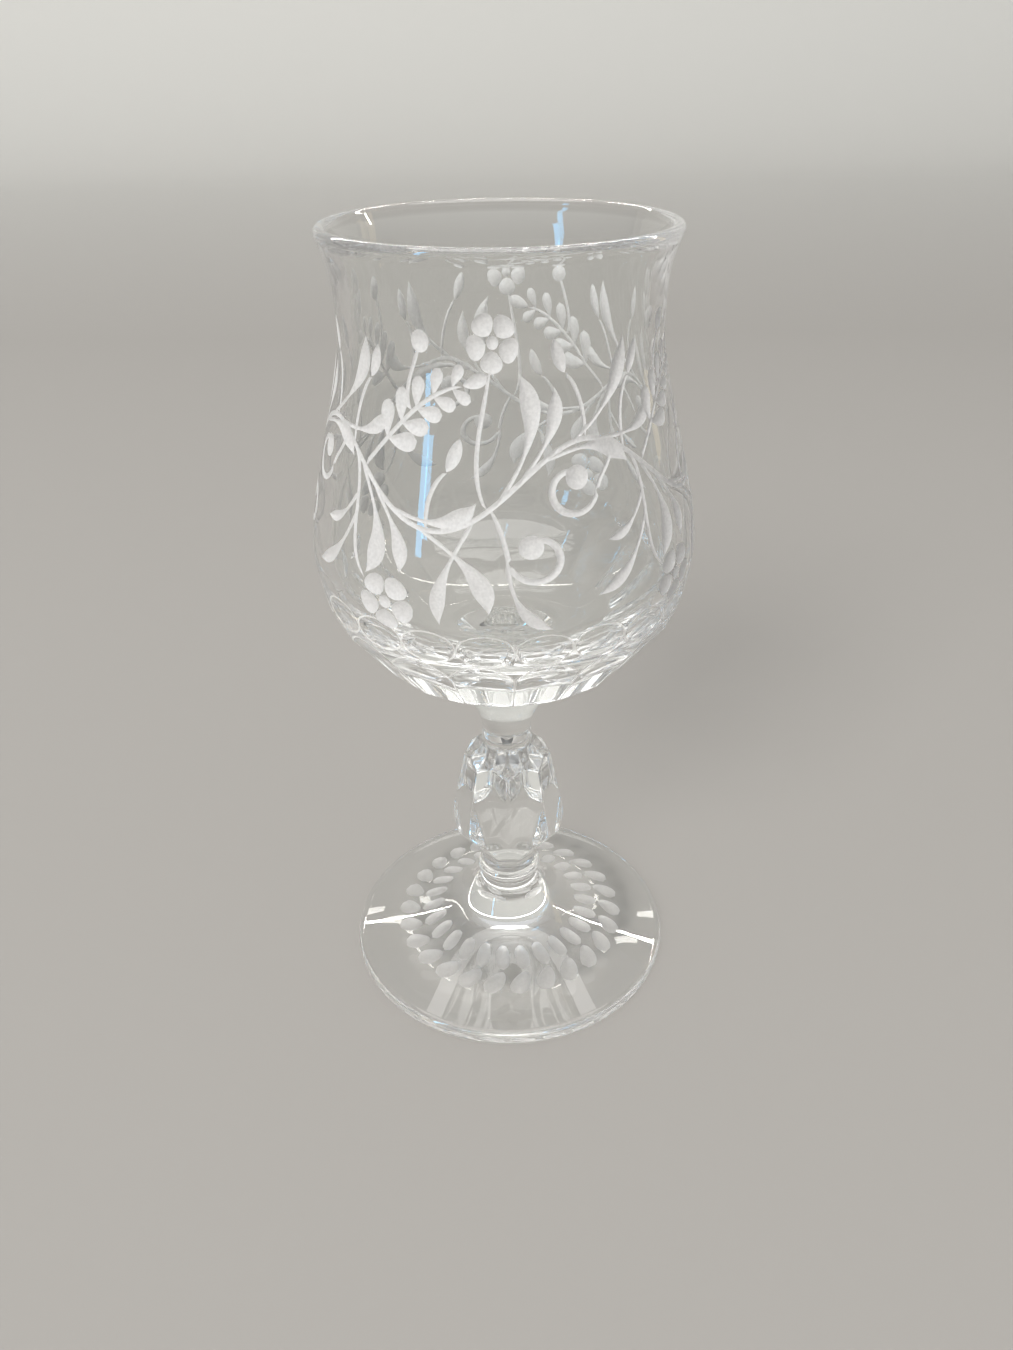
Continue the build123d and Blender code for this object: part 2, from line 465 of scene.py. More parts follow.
def frond(handles, pairs=5, length=4.9, width=2.5, least=0.65, lean=58, curl=-24):
    """A stalk with pairs of blunt leaflets that grow smaller towards its tip."""
    marks = [stalk(handles)]
    share = np.linspace(0.3, 0.92, pairs)
    spine = bezier(handles, share)
    ahead = bezier(handles, share + 0.01) - spine
    angles = np.degrees(np.arctan2(ahead[:, 1], ahead[:, 0]))
    for root, angle, size in zip(spine, angles, np.linspace(1, least, pairs)):
        for side in (-1, 1):
            out = angle + lean * side
            marks.append(leaf(root, out, length * size, width * size, curl * side, 0.68, 0.5))
    marks.append(leaf(handles[-1], angles[-1], 0.8 * length, 0.7 * width, peak=0.55, power=0.6))
    return marks


def tendril(root, angle, side, radius=3.6, fruit=1.6, sweep=290.0, shrink=0.42, count=26):
    """A stroke that winds in to one side of its first heading and carries a berry."""
    share = np.linspace(0, 1, count)
    centre = root + radius * heading(angle + 90 * side)
    turn = np.radians(angle - 90 * side + side * sweep * share)
    reach = radius * (1 - shrink * share)
    path = centre + reach[:, None] * np.column_stack([np.cos(turn), np.sin(turn)])
    half = STROKE_WIDTH * (0.5 + 0.3 * np.sin(pi * share))
    berry = centre + (radius * (1 - shrink) - 0.3 * fruit) * heading(angle - 90 * side + side * sweep)
    return [ribbon(path, half), dot(berry, fruit)]


class Vine:
    """The wave that the scroll grows from. Shares count its repeats."""

    def __init__(self, middle, pitch):
        self.middle, self.pitch = middle, pitch

    def at(self, share):
        return np.array([share * self.pitch, self.middle + VINE_SWING * np.sin(2 * pi * share)])

    def slope(self, share):
        return np.degrees(np.arctan(VINE_SWING * 2 * pi / self.pitch * np.cos(2 * pi * share)))


def vine_flicks(vine):
    marks = []
    for root, side, lead, length, width, bend, sway in VINE_FLICKS:
        angle = vine.slope(root) + lead * side
        marks.append(flick(vine.at(root), angle, length, width, bend * side, sway * side))
    return marks


def hanging_tendrils(vine):
    marks = []
    for share, side, drop in TENDRILS:
        angle = -90 + 10 * side
        root = vine.at(share)
        end = root + (2.2 * side, -drop)
        bows = root + (1.5, -0.4 * drop), end - 0.35 * drop * heading(angle)
        marks.append(stalk((root, *bows, end), start=0.5, end=1.0))
        marks += tendril(end, angle, side)
    return marks


def stalked_flower(vine, beside, offset, petal, turn, root, bows, meets, start):
    """A flower off the vine, on a stalk from a root on it."""
    centre, root = vine.at(beside) + offset, vine.at(root)
    handles = root, root + bows[0], centre + bows[1], centre + meets
    return flower(centre, petal, turn) + [stalk(handles, start)]


def buds(vine):
    marks = []
    for share, side, rise in BUDS:
        root = vine.at(share)
        top = root + (2.4 * side, rise)
        bows = root + (-0.4 * side, 0.4 * rise), root + (0.4 * side, 0.8 * rise)
        marks.append(stalk((root, *bows, top), start=0.5, end=0.6))
        marks.append(leaf(top, 90 - 30 * side, 4.6, 1.9, bend=16 * side, peak=0.5, power=0.7))
    return marks


def frond_berry(vine, radius=1.4):
    """A berry on a stalk that leaves the frond."""
    root = vine.at(FROND_ROOT) + (7.2, 8.0)
    berry = root + (1.6, 8.6)
    handles = root, root + (-1.6, 3.0), berry + (-1.0, -3.0), berry
    return [stalk(handles), dot(berry, radius)]


def scroll_marks(vine):
    """One repeat of a running vine with long flicks, two flowers, a frond, berries and buds."""
    marks = vine_flicks(vine)
    marks += frond([vine.at(FROND_ROOT) + p for p in FROND_REACH])
    marks += hanging_tendrils(vine)
    marks += stalked_flower(vine, **LOWER_FLOWER)
    marks += [flick(vine.at(root) + offset, *stroke) for root, offset, *stroke in LOWER_FLICKS]
    marks += stalked_flower(vine, **UPPER_FLOWER)
    return marks + buds(vine) + frond_berry(vine)


def bowl_marks(belly):
    """The vine round the bowl, and what grows on it in each repeat."""
    pitch = 2 * pi * BOWL_REFERENCE / REPEATS
    vine = Vine(belly + VINE_HEIGHT, pitch)
    share = np.linspace(-0.1, REPEATS + 0.1, REPEATS * 40)
    marks = [ribbon(vine.at(share).T, np.full(len(share), VINE_WIDTH / 2))]
    for k in range(-1, REPEATS + 1):
        shift = (k * pitch, 0)
        marks += [(edge + shift, floor + shift) for edge, floor in scroll_marks(vine)]
    return marks


def foot_marks():
    """Two rings of leaflets round the foot, in pairs that lean the same way."""
    marks = []
    pitch = 2 * pi * FOOT_REFERENCE / FOOT_LEAFLETS
    for k in range(-1, FOOT_LEAFLETS + 1):
        root = np.array([(k + 0.5) * pitch, FOOT_LEAFLET_ROOT])
        marks.append(leaf(root, -90 - 24, 4.8, 3.0, bend=-20, peak=0.6, power=0.35))
        marks.append(leaf(root + (0, 0.4), 90 + 8, 4.8, 3.1, bend=6, peak=0.55, power=0.3))
    return marks


def within(edge, floor, width, clear=0.1):
    """Cuts a mark off at the two sides of the unrolled wall, or gives None where nothing is left."""
    whole = edge
    for limit, keep in ((0.0, 1), (width, -1)):
        left = []
        for a, b in zip(edge, np.roll(edge, -1, axis=0)):
            a_in, b_in = keep * (a[0] - limit) >= 0, keep * (b[0] - limit) >= 0
            if a_in:
                left.append(a)
            if a_in != b_in:
                left.append((limit, a[1] + (limit - a[0]) / (b[0] - a[0]) * (b[1] - a[1])))
        if len(left) < 3:
            return None
        edge = np.array(left)
        floor = floor[keep * (floor[:, 0] - limit) > clear]
    return edge, floor, whole


def inside_by(points, edge):
    """How far inside an edge the points lie, and zero outside it."""
    deep = np.zeros(len(points))
    near = np.flatnonzero(((points > edge.min(0)) & (points < edge.max(0))).all(axis=1))
    p = points[near][:, None]
    a, b = edge, np.roll(edge, -1, axis=0)
    side = b - a
    size = (side**2).sum(-1).clip(TINY)
    share = (((p - a) * side).sum(-1) / size).clip(0, 1)
    gap = np.linalg.norm(p - a - share[..., None] * side, axis=-1).min(axis=1)
    rise = np.where(side[:, 1] == 0, TINY, side[:, 1])
    meets = a[:, 0] + (p[..., 1] - a[:, 1]) / rise * side[:, 0]
    crossed = ((a[:, 1] > p[..., 1]) != (b[:, 1] > p[..., 1])) & (p[..., 0] < meets)
    deep[near] = np.where(crossed.sum(axis=1) % 2 == 1, gap, 0)
    return deep


# Carved walls, unrolled at a reference radius

def cut_outlines(cuts, reference, length):
    """Two edges of every cut, on both sides of the real one, and what lies in each of them."""
    limits = (0, 0), (2 * pi * reference, length)
    outlines, kinds = [], []
    for k, row in enumerate(cuts):
        for grow, kind in ((CUT_EDGE / 2, BEVEL), (-CUT_EDGE / 2, FIRST_CUT + k)):
            outlines += [(edge * (reference, 1)).clip(*limits) for edge in row.outlines(grow)]
            kinds += [kind] * row.count
    return outlines, kinds


def divided(points, outlines, merge=1e-6):
    """Triangles between points that follow outlines, and the outlines that each of them lies in."""
    loops, start = [], sum(len(p) for p in points)
    for edge in outlines:
        loops.append(list(range(start, start + len(edge))))
        start += len(edge)
    flat = np.concatenate(points + outlines).tolist()
    net, _, triangles, _, _, owners = delaunay_2d_cdt(flat, [], loops, 0, merge)
    return np.array(net), np.array(triangles), owners


def in_order(picked, value):
    """Numbers of the picked points, sorted by a value of theirs."""
    found = np.flatnonzero(picked)
    return found[np.argsort(value[found])]


def sunk_depth(net, turn, cuts, marks):
    """How far below the wall its cuts and marks take each point."""
    sunk = np.zeros(len(net))
    for row in cuts:
        sunk = np.maximum(sunk, row.depth(turn, net[:, 1]))
    for _, _, whole in marks:
        gap = inside_by(net, whole)
        sunk = np.maximum(sunk, ENGRAVED_DEPTH * gap / (gap + ENGRAVED_SLOPE))
    return sunk


def ground_normals(normals, places, turn, triangles, kind, cuts):
    """Turns the corner normals in every cut to where its wheel left the glass facing."""
    middle = turn[triangles].mean(axis=1)
    for k, row in enumerate(cuts):
        mine = kind == FIRST_CUT + k
        home = row.middle(middle[mine])
        corners = turned(places[triangles[mine]], -home)
        normals[mine] = turned(row.facing(corners), home)


def rounded(net, triangles, normals, first, last):
    """Corner normals shared at each point, weighted by the angle that a corner spans there."""
    total = np.zeros((len(net), 3))
    for k in range(3):
        here, ahead, behind = (net[triangles[:, (k + i) % 3]] for i in range(3))
        a, b = ahead - here, behind - here
        angle = np.abs(np.arctan2(a[:, 0] * b[:, 1] - a[:, 1] * b[:, 0], (a * b).sum(axis=1)))
        np.add.at(total, triangles[:, k], normals[:, k] * angle[:, None])
    total[first] = total[last] = total[first] + total[last]
    total /= np.linalg.norm(total, axis=1, keepdims=True).clip(TINY)
    return total[triangles]


def face_normals(places, triangles):
    """Corner normals shared at each point, weighted by the size of the faces that meet there."""
    a, b, c = np.moveaxis(places[triangles], 1, 0)
    face = np.cross(b - a, c - a)
    total = np.zeros_like(places)
    for corner in triangles.T:
        np.add.at(total, corner, face)
    total /= np.linalg.norm(total, axis=1, keepdims=True).clip(TINY)
    return total[triangles]


def rolled_up(shell, places, first, last):
    """Adds the points of a wall, whose two sides become one seam, and gives their numbers back."""
    number = np.full(len(places), -1)
    kept = np.setdiff1d(np.arange(len(places)), last)
    number[kept] = shell.add(turned(places[kept], np.full(len(kept), radians(SEAM))))
    number[last] = number[first]
    return number


def carve(shell, wall, reference, rows, cuts, marks):
    """Adds a wall with its cuts and engraved marks, and gives its lowest and highest ring back.

    It is divided into triangles that follow the edges of cuts and marks. rows are pairs of a
    distance along the wall and a count of columns there.
    """
    width = 2 * pi * reference
    marks = [m for m in (within(*mark, width) for mark in marks) if m]
    outlines, kinds = cut_outlines(cuts, reference, wall.length)
    engraved = FIRST_CUT + len(cuts)
    outlines += [edge for edge, _, _ in marks]
    kinds += [engraved] * len(marks)
    points = [np.column_stack([np.linspace(0, width, n + 1), np.full(n + 1, s)]) for s, n in rows]
    points += [floor for _, floor, _ in marks]
    net, triangles, owners = divided(points, outlines)
    kind = np.array([max((kinds[i] for i in own), default=WALL) for own in owners])

    across, up = net.T
    turn = across / reference
    places, out = wall.solid(turn, up)
    places = places - sunk_depth(net, turn, cuts, marks)[:, None] * out
    normals = out[triangles]
    ground_normals(normals, places, turn, triangles, kind, cuts)
    first, last = in_order(across < HAIR, up), in_order(across > width - HAIR, up)
    frosted, bevelled = kind == engraved, kind == BEVEL
    normals[~frosted] = rounded(net, triangles[~frosted], normals[~frosted], first, last)
    normals[frosted] = face_normals(places, triangles[frosted])

    number = rolled_up(shell, places, first, last)
    normals = turned(normals, np.full(len(normals), radians(SEAM)))
    for slot, picked in ((GLASS, ~frosted & ~bevelled), (FROST, frosted), (EDGE, bevelled)):
        shell.join(number[triangles[picked]], normals[picked], slot)
    low, high = in_order(up < HAIR, across), in_order(up > wall.length - HAIR, across)
    return number[low[:-1]], number[high[:-1]]


# Pieces

def build_foot(materials):
    shell = Shell()
    ring_inside, edge_inside = FOOT_RADIUS - FOOT_RING, FOOT_RADIUS - FOOT_ROUND
    sweep = (ring_inside**2 + FOOT_HOLLOW**2) / (2 * FOOT_HOLLOW)
    r = np.linspace(0, ring_inside, 60)
    hollow = Wall(np.column_stack([r, FOOT_HOLLOW - sweep + np.sqrt(sweep**2 - r**2)]))
    rest = Wall(np.linspace((ring_inside, 0), (edge_inside, 0), 12))
    lower, _ = corner_arc((FOOT_RADIUS, 0), (1, 0), (0, 1), FOOT_ROUND)
    upper, _ = corner_arc((FOOT_RADIUS, FOOT_EDGE), (0, 1), (-1, 0), FOOT_ROUND)
    rim = Wall(lower, upper)
    disc = Wall(
        run(
            (edge_inside, FOOT_EDGE),
            (FOOT_CROWN_RADIUS, FOOT_EDGE + FOOT_CROWN),
            (FOOT_COVE_RADIUS, FOOT_COVE_HEIGHT),
            (FOOT_SEAT, FOOT_TOP),
        )
    )
    rows = [(s, COLUMNS) for s in disc.rows(DISC_STEP)]
    outside, seat = carve(shell, disc, FOOT_REFERENCE, rows, [], foot_marks())
    centre = shell.add([(0, 0, FOOT_HOLLOW)])[0]
    hollow_rows = hollow.rows(UNDERSIDE_STEP)[1:]
    places, normals = hollow.solid(TURNS, hollow_rows[0])
    first = shell.add(places)
    shell.fan(first[::-1], centre, normals[::-1], (0, 0, -1))
    ring = shell.lathe(hollow, hollow_rows, first)
    ring = shell.lathe(rest, rest.rows(UNDERSIDE_STEP), ring)
    shell.lathe(rim, rim.rows(ROUND_STEP), ring, outside)
    shell.cap(seat, 1.0)
    shell.piece("foot_glass", "foot", materials)


def build_merese(materials):
    shell = Shell()
    widest = (MERESE_RADIUS, (MERESE_BOTTOM + MERESE_TOP) / 2)
    bulge = Wall(arc_through((FOOT_SEAT, MERESE_BOTTOM), widest, (LOWER_NECK, MERESE_TOP), count=60))
    first = shell.add(bulge.solid(TURNS, 0)[0])
    last = shell.lathe(bulge, bulge.rows(BULGE_STEP), first)
    shell.cap(first, -1.0)
    shell.cap(last, 1.0)
    shell.piece("merese_glass", "merese", materials)


def soft_min(a, b, reach):
    """The smaller of two values, with the edge between them rounded over a reach."""
    near = np.clip(reach - np.abs(a - b), 0, None) / reach
    return np.minimum(a, b) - near**2 * reach / 4


def knop_radius(turn, z):
    """Radius of the knop: a round girdle that three tiers of flats cut back."""
    step = 2 * pi / KNOP_SIDES
    corner = 1 / cos(step / 2)

    def level(low, high):
        return low[0] + (z - low[1]) * (high[0] - low[0]) / (high[1] - low[1])

    shoulder = level((SHOULDER_FLATS / 2 * corner, SHOULDER_Z), (UPPER_NECK + NECK_MARGIN, UPPER_NECK_Z))
    body = level((GIRDLE_FLATS / 2, BODY_Z), (SHOULDER_FLATS / 2, SHOULDER_Z))
    undercut = level((LOWER_NECK + NECK_MARGIN, KNOP_Z), (KNOP_RADIUS, GIRDLE_Z))
    radius = np.full(np.broadcast(turn, z).shape, KNOP_RADIUS)
    for distance, lead in ((shoulder, 0.0), (body, step / 2), (undercut, 0.0)):
        from_flat = (turn - radians(FRONT) - lead + step / 2) % step - step / 2
        for k in (0, -1, 1):
            radius = soft_min(radius, distance / np.cos(from_flat + k * step), KNOP_EDGE)
    return radius


def neck_flare():
    """Profile of the upper neck, from the knop to the seat of the bowl."""
    height = STEM_TOP - FLARE_Z
    return run(
        (UPPER_NECK, FLARE_Z),
        (UPPER_NECK, FLARE_Z + FLARE_START * height),
        ((UPPER_NECK + BOWL_SEAT) / 2, FLARE_Z + FLARE_MIDDLE * height),
        (BOWL_SEAT, STEM_TOP),
    )


def stem_place(flare, turn, z):
    """Points of the stem: the knop or the neck, whichever is wider, with a fillet between them."""
    neck = np.where(z < BODY_Z, LOWER_NECK, np.interp(z, flare[:, 1], flare[:, 0]))
    r = -soft_min(-knop_radius(turn, z), -neck, NECK_FILLET)
    return around(turn, r, z)


def stem_normals(flare, turn, z, nudge=1e-4):
    across = stem_place(flare, turn + nudge, z) - stem_place(flare, turn - nudge, z)
    upward = stem_place(flare, turn, z + nudge) - stem_place(flare, turn, z - nudge)
    normals = np.cross(across, upward)
    return normals / np.linalg.norm(normals, axis=1, keepdims=True)


def build_stem(materials):
    shell = Shell()
    flare = neck_flare()
    low, high = KNOP_Z - FILLET_ROOM, UPPER_NECK_Z + FILLET_ROOM
    rows = np.concatenate([
        np.linspace(STEM_BOTTOM, low, NECK_ROWS)[:-1],
        np.linspace(low, high, KNOP_ROWS)[:-1],
        np.linspace(high, STEM_TOP, FLARE_ROWS),
    ])
    columns = FLAT_COLUMNS * KNOP_SIDES
    turns = radians(FRONT) + np.arange(columns) * 2 * pi / columns
    rings = [shell.add(stem_place(flare, turns, z)) for z in rows]
    normals = [stem_normals(flare, turns, z) for z in rows]
    for lower, upper, below, above in zip(rings, rings[1:], normals, normals[1:]):
        shell.band(lower, upper, below, above)
    shell.cap(rings[0], -1.0)
    shell.cap(rings[-1], 1.0)
    shell.piece("stem_glass", "stem", materials)


def tulip(belly, waist, lip):
    """Curve handles from the belly to the waist and from there to the lip, at three radii."""
    waist_rise, lip_rise = WAIST_Z - BELLY_Z, LIP_TOP - WAIST_Z
    taper = (
        (belly, BELLY_Z),
        (belly, BELLY_Z + TAPER_START * waist_rise),
        (waist, WAIST_Z - TAPER_END * waist_rise),
        (waist, WAIST_Z),
    )
    flare = (
        (waist, WAIST_Z),
        (waist, WAIST_Z + WAIST_HANDLE * lip_rise),
        (lip - LIP_FLARE, LIP_TOP - LIP_FLARE_HEIGHT),
        (lip, LIP_TOP),
    )
    return taper, flare


def outer_wall():
    """The bowl's outer wall from its seat to the lip, and how far along it the belly lies."""
    lower = run(
        (BOWL_SEAT, BOWL_BOTTOM),
        (BOWL_SEAT + BASE_HANDLE * (BELLY_RADIUS - BOWL_SEAT), BOWL_BOTTOM),
        (BELLY_RADIUS, BELLY_Z - ROUND_HANDLE * (BELLY_Z - BOWL_BOTTOM)),
        (BELLY_RADIUS, BELLY_Z),
    )
    taper, flare = tulip(BELLY_RADIUS, WAIST_RADIUS, LIP_RADIUS)
    return Wall(lower, run(*taper), run(*flare)), Wall(lower).length


def inner_wall():
    """The bowl's inner wall, from the lip to the middle of its bottom."""
    base = BOWL_BOTTOM + BASE_THICKNESS
    belly = BELLY_RADIUS - BELLY_WALL
    taper, flare = tulip(belly, WAIST_RADIUS - WAIST_WALL, LIP_RADIUS - LIP_WALL)
    lower = run(
        (belly, BELLY_Z),
        (belly, BELLY_Z - FULL_HANDLE * (BELLY_Z - base)),
        (FULL_HANDLE * belly, base),
        (0, base),
    )
    return Wall(run(*reversed(flare)), run(*reversed(taper)), lower)


def lip_wall():
    """The fire-polished lip, and how far it takes the place of the outer and the inner wall."""
    lean, across, back = (LIP_FLARE, LIP_FLARE_HEIGHT), (-1, 0), (-LIP_FLARE, -LIP_FLARE_HEIGHT)
    outer, outer_back = corner_arc((LIP_RADIUS, LIP_TOP), lean, across, LIP_ROUND)
    inner, inner_back = corner_arc((LIP_RADIUS - LIP_WALL, LIP_TOP), across, back, LIP_ROUND)
    return Wall(outer, inner), outer_back, inner_back


def build_bowl(materials):
    shell = Shell()
    whole, belly = outer_wall()
    lip, outer_back, inner_back = lip_wall()
    inner = inner_wall()
    kept = whole.at < whole.length - outer_back
    outer = Wall(np.concatenate([whole.points[kept], lip.points[:1]]))
    cuts = [WheelCuts(outer, belly, **row) for row in (OVALS, OLIVES)]
    rows = [(s, COLUMNS) for s in np.linspace(0, CUTS_START, BASE_ROWS)[:-1]]
    rows += [(s, 2 * COLUMNS) for s in np.linspace(CUTS_START, belly - CUTS_END, CUT_ROWS)]
    rows += [(s, COLUMNS) for s in np.linspace(belly, outer.length, WALL_ROWS)]
    seat, top = carve(shell, outer, BOWL_REFERENCE, rows, cuts, bowl_marks(belly))
    ring = shell.lathe(lip, lip.rows(ROUND_STEP), top)
    inner_rows = np.linspace(inner_back, inner.length, INNER_ROWS)[:-1]
    ring = shell.lathe(inner, inner_rows, ring)
    tip = shell.add([(0, 0, inner.points[-1, 1])])[0]
    shell.fan(ring, tip, inner.solid(TURNS, inner_rows[-1])[1], (0, 0, 1))
    shell.cap(seat, -1.0)
    shell.piece("bowl_glass", "bowl", materials)


# Materials

GLASS_IOR = 1.54


def grey(value):
    return value, value, value


def new_material(name):
    material = bpy.data.materials.new(name)
    material.use_nodes = True
    nodes = material.node_tree.nodes
    nodes.clear()
    output = nodes.new("ShaderNodeOutputMaterial")
    return material, nodes, material.node_tree.links, output.inputs["Surface"]


def noise(nodes, links, scale, detail):
    place = nodes.new("ShaderNodeTexCoord")
    texture = nodes.new("ShaderNodeTexNoise")
    texture.inputs["Scale"].default_value = scale
    texture.inputs["Detail"].default_value = detail
    links.new(place.outputs["Object"], texture.inputs["Vector"])
    return texture.outputs["Fac"]


def ranged(nodes, links, value, low, high, start=0.0, end=1.0):
    """Runs from low to high as a value goes from start to end."""
    span = nodes.new("ShaderNodeMapRange")
    span.inputs["From Min"].default_value = start
    span.inputs["From Max"].default_value = end
    span.inputs["To Min"].default_value = low
    span.inputs["To Max"].default_value = high
    links.new(value, span.inputs["Value"])
    return span.outputs["Result"]


def shade(nodes, links, value, low, high, start=0.0, end=1.0):
    """Runs from one colour to another as a value goes from start to end."""
    ramp = nodes.new("ShaderNodeValToRGB")
    for element, colour, position in zip(ramp.color_ramp.elements, (low, high), (start, end)):
        element.color, element.position = (*colour, 1), position
    links.new(value, ramp.inputs["Fac"])
    return ramp.outputs["Color"]


def bumped(nodes, links, height, strength, distance):
    bump = nodes.new("ShaderNodeBump")
    bump.inputs["Strength"].default_value = strength
    bump.inputs["Distance"].default_value = distance
    links.new(height, bump.inputs["Height"])
    return bump.outputs["Normal"]


def mixed(nodes, links, first, second):
    """A mix of two shaders, whose share is still to be set."""
    mix = nodes.new("ShaderNodeMixShader")
    links.new(first, mix.inputs[1])
    links.new(second, mix.inputs[2])
    return mix.inputs["Fac"], mix.outputs["Shader"]


def either_ray(nodes, links, *kinds):
    """One for rays of two kinds, zero for all others."""
    path = nodes.new("ShaderNodeLightPath")
    either = nodes.new("ShaderNodeMath")
    either.operation = "MAXIMUM"
    for kind, slot in zip(kinds, either.inputs):
        links.new(path.outputs[kind], slot)
    return either.outputs["Value"]


def crystal_shader(nodes, links):
    """Clear polished crystal with the faintest waviness and handling marks."""
    shader = nodes.new("ShaderNodeBsdfPrincipled")
    shader.inputs["Base Color"].default_value = (0.985, 0.995, 0.99, 1)
    shader.inputs["IOR"].default_value = GLASS_IOR
    shader.inputs["Transmission Weight"].default_value = 1.0
    marks = noise(nodes, links, scale=140.0, detail=2.0)
    links.new(ranged(nodes, links, marks, 0.0, 0.003), shader.inputs["Roughness"])
    waves = noise(nodes, links, scale=60.0, detail=0.0)
    links.new(bumped(nodes, links, waves, strength=0.012, distance=0.001), shader.inputs["Normal"])
    return shader.outputs["BSDF"]


def lit_through(nodes, links, shader, surface):
    """Lets the light of lamps through to what is behind a clear surface, dimmed a little."""
    clear = nodes.new("ShaderNodeBsdfTransparent")
    clear.inputs["Color"].default_value = (*grey(0.93), 1)
    share, mix = mixed(nodes, links, shader, clear.outputs["BSDF"])
    links.new(either_ray(nodes, links, "Is Shadow Ray", "Is Diffuse Ray"), share)
    links.new(mix, surface)


def crystal_material():
    material, nodes, links, surface = new_material("clear_crystal")
    lit_through(nodes, links, crystal_shader(nodes, links), surface)
    return material


def edge_material():
    """Polished edges of the cuts: clear crystal with a painted sheen, white diffuse mixed in where the
    edge is seen aslant, in place of the highlights that such edges catch.
    """
    material, nodes, links, surface = new_material("polished_edge_painted_sheen")
    # Painted highlight: a white diffuse sheen that stands in for the light caught by the rounded edges.
    painted_sheen = nodes.new("ShaderNodeBsdfDiffuse")
    painted_sheen.inputs["Color"].default_value = (0.95, 0.95, 0.94, 1)
    aslant = nodes.new("ShaderNodeLayerWeight").outputs["Facing"]
    share, mix = mixed(nodes, links, crystal_shader(nodes, links), painted_sheen.outputs["BSDF"])
    links.new(ranged(nodes, links, aslant, 0.0, 0.5, start=0.1, end=0.35), share)
    lit_through(nodes, links, mix, surface)
    return material


def frost_material(name, dark, light, clear, through_share):
    """Ground glass of engraved marks: whitish, partly see-through and finely grained."""
    material, nodes, links, surface = new_material(name)
    shader = nodes.new("ShaderNodeBsdfPrincipled")
    shader.inputs["IOR"].default_value = GLASS_IOR
    shader.inputs["Transmission Weight"].default_value = clear
    grain = noise(nodes, links, scale=2600.0, detail=3.0)
    tint = shade(nodes, links, grain, grey(dark), grey(light), start=0.3, end=0.7)
    links.new(tint, shader.inputs["Base Color"])
    links.new(ranged(nodes, links, grain, 0.42, 0.62), shader.inputs["Roughness"])
    links.new(bumped(nodes, links, grain, strength=0.3, distance=0.0001), shader.inputs["Normal"])
    through = nodes.new("ShaderNodeBsdfTranslucent")
    links.new(tint, through.inputs["Color"])
    share, mix = mixed(nodes, links, shader.outputs["BSDF"], through.outputs["BSDF"])
    share.default_value = through_share
    links.new(mix, surface)
    return material


def seat_material():
    """The inside of a fused joint, where the glass runs on unbroken."""
    material, nodes, links, surface = new_material("fused_seat")
    links.new(nodes.new("ShaderNodeBsdfTransparent").outputs["BSDF"], surface)
    return material


def floor_material():
    """Plain and matt, pale at the glass and painted paler towards the backdrop, painted light that makes
    up for the light falling off there.
    """
    material, nodes, links, surface = new_material("pale_floor")
    shader = nodes.new("ShaderNodeBsdfPrincipled")
    shader.inputs["Roughness"].default_value = 0.8
    shader.inputs["Specular IOR Level"].default_value = 0.1
    place = nodes.new("ShaderNodeTexCoord")
    parts = nodes.new("ShaderNodeSeparateXYZ")
    links.new(place.outputs["Object"], parts.inputs["Vector"])
    back = ranged(nodes, links, parts.outputs["Y"], 0.0, 1.0, start=0.5, end=FLOOR_BACK)
    # Painted light: the paler colour towards the backdrop stands in for light that falls off there.
    colour = shade(nodes, links, back, (0.42, 0.405, 0.385), (0.80, 0.80, 0.77))
    links.new(colour, shader.inputs["Base Color"])
    links.new(shader.outputs["BSDF"], surface)
    return material


# Studio, in metres

FLOOR_DROP = -0.0002
FLOOR_FRONT, FLOOR_BACK = -4.0, 2.2
FLOOR_HALF = 4.0
BACKDROP_BEND, BACKDROP_TOP = 0.8, 3.0
LAMP_TARGET = (0, 0, 0.06)
CAMERA_PLACE = (0.00008, -0.1494, 0.1467)
CAMERA_DIP, CAMERA_ROLL = 30.92, -0.87
CAMERA_LENS, CAMERA_SENSOR = 27.6, 36.0  # millimetres
BOUNCES = 32


def add_floor():
    """A floor that sweeps up into a backdrop, a hair below the foot so that the two don't coincide."""
    a = np.linspace(0, pi / 2, 24)
    bend = BACKDROP_BEND
    sweep = zip(FLOOR_BACK - bend + bend * np.sin(a), bend - bend * np.cos(a))
    path = [(FLOOR_FRONT, 0.0), *sweep, (FLOOR_BACK, BACKDROP_TOP)]
    points = [(x, y, z + FLOOR_DROP) for y, z in path for x in (-FLOOR_HALF, FLOOR_HALF)]
    faces = [(2 * i, 2 * i + 1, 2 * i + 3, 2 * i + 2) for i in range(len(path) - 1)]
    mesh = bpy.data.meshes.new("floor")
    mesh.from_pydata(points, [], faces)
    mesh.polygons.foreach_set("use_smooth", [True] * len(faces))
    mesh.materials.append(floor_material())
    floor = bpy.data.objects.new("floor", mesh)
    bpy.context.scene.collection.objects.link(floor)


def add_world():
    """Soft light from above that falls off to a dark horizon, which draws the edges of the glass."""
    world = bpy.data.worlds.new("studio")
    world.use_nodes = True
    nodes, links = world.node_tree.nodes, world.node_tree.links
    place = nodes.new("ShaderNodeTexCoord")
    parts = nodes.new("ShaderNodeSeparateXYZ")
    links.new(place.outputs["Generated"], parts.inputs["Vector"])
    room, in_glass = nodes["Background"], nodes.new("ShaderNodeBackground")
    for background, horizon, top, end in ((room, 0.35, 0.60, 1.0), (in_glass, 0.10, 0.70, 0.8)):
        colour = shade(nodes, links, parts.outputs["Z"], grey(horizon), grey(top), end=end)
        links.new(colour, background.inputs["Color"])
    share, mix = mixed(nodes, links, room.outputs["Background"], in_glass.outputs["Background"])
    links.new(either_ray(nodes, links, "Is Glossy Ray", "Is Transmission Ray"), share)
    links.new(mix, nodes["World Output"].inputs["Surface"])
    bpy.context.scene.world = world


